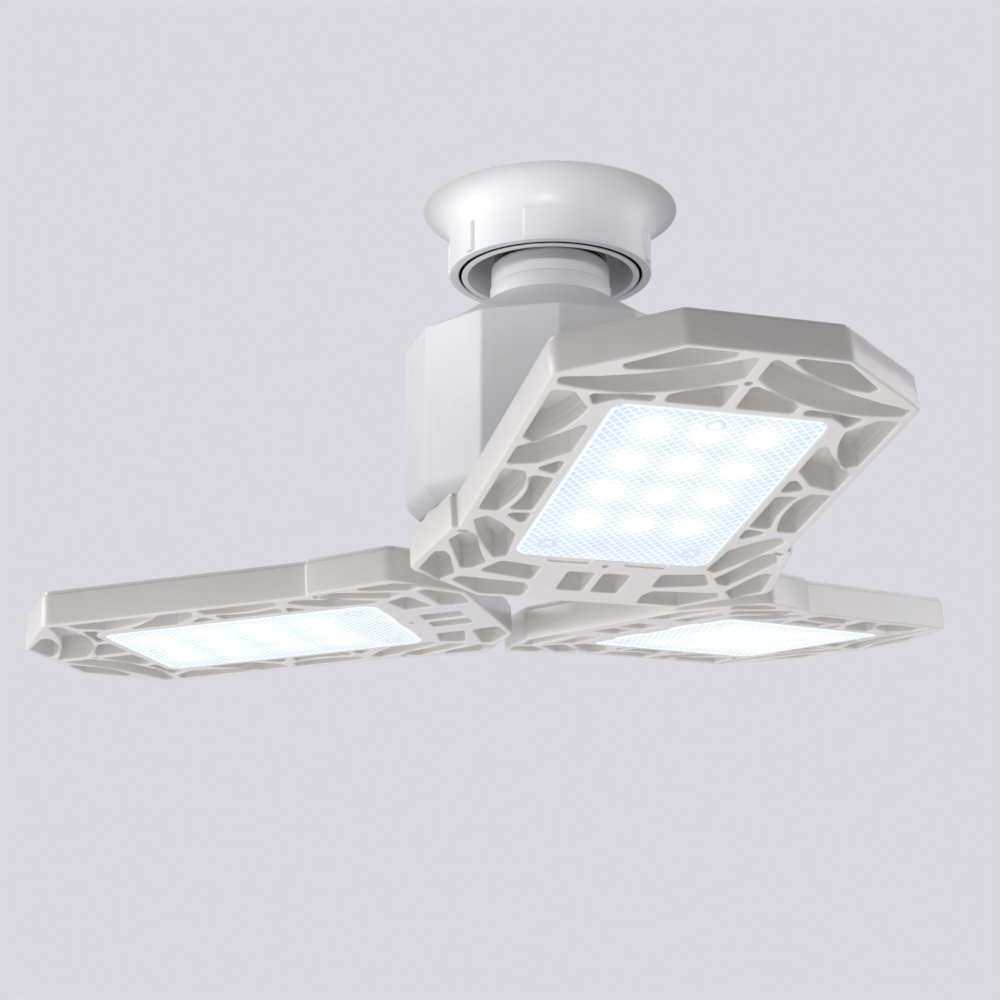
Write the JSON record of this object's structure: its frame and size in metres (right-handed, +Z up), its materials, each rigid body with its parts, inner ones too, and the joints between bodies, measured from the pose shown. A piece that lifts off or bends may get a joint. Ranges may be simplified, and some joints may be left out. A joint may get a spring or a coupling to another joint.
{
  "type": "deformable garage light",
  "caption": "Ceiling light with folding lit panels on hinges round a faceted white body, hung by its screw cap in a round lampholder.",
  "frame": {"origin": "on the ceiling plane, midway between the two ceiling screws, on the lamp's axis", "axes": "+Z up out of the ceiling screws towards the ceiling, -Y towards the front panel, +X to the right of the picture"},
  "size_m": [0.3101, 0.2832, 0.1545],
  "materials": {
    "holder_white": "satin white",
    "barrel_brown": "dark brown, semi-gloss",
    "bright_brass": "bright",
    "cap_metal": "plated, satin",
    "black_insulator": "matt",
    "body_white": "satin white",
    "hub_white": "satin off-white",
    "panel_plastic": "satin warm off-white",
    "lens_clear": "clear with crossed prism lines",
    "board_white": "white solder resist on an aluminium board",
    "led_glow": "lit, cool white",
    "bracket_steel": "zinc-plated",
    "screw_steel": "zinc-plated",
    "spring_steel": "dark spring steel",
    "circuit_green": "solder resist",
    "transformer_yellow": "tape and ferrite",
    "capacitor_sleeve": "dark blue sleeve",
    "wire_red": "insulated wire"
  },
  "bodies": {
    "lampholder": {"holder_base": "holder_white", "holder_cover": "holder_white", "holder_collar": "holder_white", "holder_screws": "screw_steel", "socket_barrel": "barrel_brown", "barrel_rivets": "bright_brass", "screw_shell": "bright_brass", "neutral_strap": "bright_brass", "centre_contact": "bright_brass", "terminal_blocks": "bright_brass"},
    "lamp": {"cap_shell": "cap_metal", "cap_insulator": "black_insulator", "cap_contact": "cap_metal", "neck": "body_white", "housing": "body_white", "driver_board": "circuit_green", "driver_transformer": "transformer_yellow", "driver_capacitors": "capacitor_sleeve", "driver_chips": "black_insulator", "supply_leads": "wire_red", "hub": "hub_white", "hub_screws": "screw_steel", "bracket_screws": "screw_steel", "hinge_nuts": "screw_steel", "friction_washers": "spring_steel", "hub_leads": "wire_red", "hinge_bracket_front": "bracket_steel", "hinge_bracket_left": "bracket_steel", "hinge_bracket_right": "bracket_steel", "hinge_pin_front": "screw_steel", "hinge_pin_left": "screw_steel", "hinge_pin_right": "screw_steel"},
    "panel_front": {"frame_front": "panel_plastic", "lens_front": "lens_clear", "led_board_front": "board_white", "leds_front": "led_glow", "back_cover_front": "panel_plastic", "hinge_leaf_front": "bracket_steel", "board_screws_front": "screw_steel", "leaf_screws_front": "screw_steel", "panel_lead_front": "wire_red"},
    "panel_left": {"frame_left": "panel_plastic", "lens_left": "lens_clear", "led_board_left": "board_white", "leds_left": "led_glow", "back_cover_left": "panel_plastic", "hinge_leaf_left": "bracket_steel", "board_screws_left": "screw_steel", "leaf_screws_left": "screw_steel", "panel_lead_left": "wire_red"},
    "panel_right": {"frame_right": "panel_plastic", "lens_right": "lens_clear", "led_board_right": "board_white", "leds_right": "led_glow", "back_cover_right": "panel_plastic", "hinge_leaf_right": "bracket_steel", "board_screws_right": "screw_steel", "leaf_screws_right": "screw_steel", "panel_lead_right": "wire_red"}
  },
  "joints": [
    {"name": "lamp_turn", "type": "hinge", "parent": "lampholder", "child": "lamp", "pos_m": [0, 0, 0], "axis": [0, 0, 1], "range_deg": [-360, 0]},
    {"name": "panel_front_tilt", "type": "hinge", "parent": "lamp", "child": "panel_front", "pos_m": [0, -0.0295, -0.1175], "axis": [-1, 0, 0], "range_deg": [-19.8, 43.2]},
    {"name": "panel_left_tilt", "type": "hinge", "parent": "lamp", "child": "panel_left", "pos_m": [-0.02555, 0.01475, -0.1175], "axis": [0.5, 0.866, 0], "range_deg": [-4.6, 58.4]},
    {"name": "panel_right_tilt", "type": "hinge", "parent": "lamp", "child": "panel_right", "pos_m": [0.02555, 0.01475, -0.1175], "axis": [0.5, -0.866, 0], "range_deg": [-13, 50]}
  ]
}
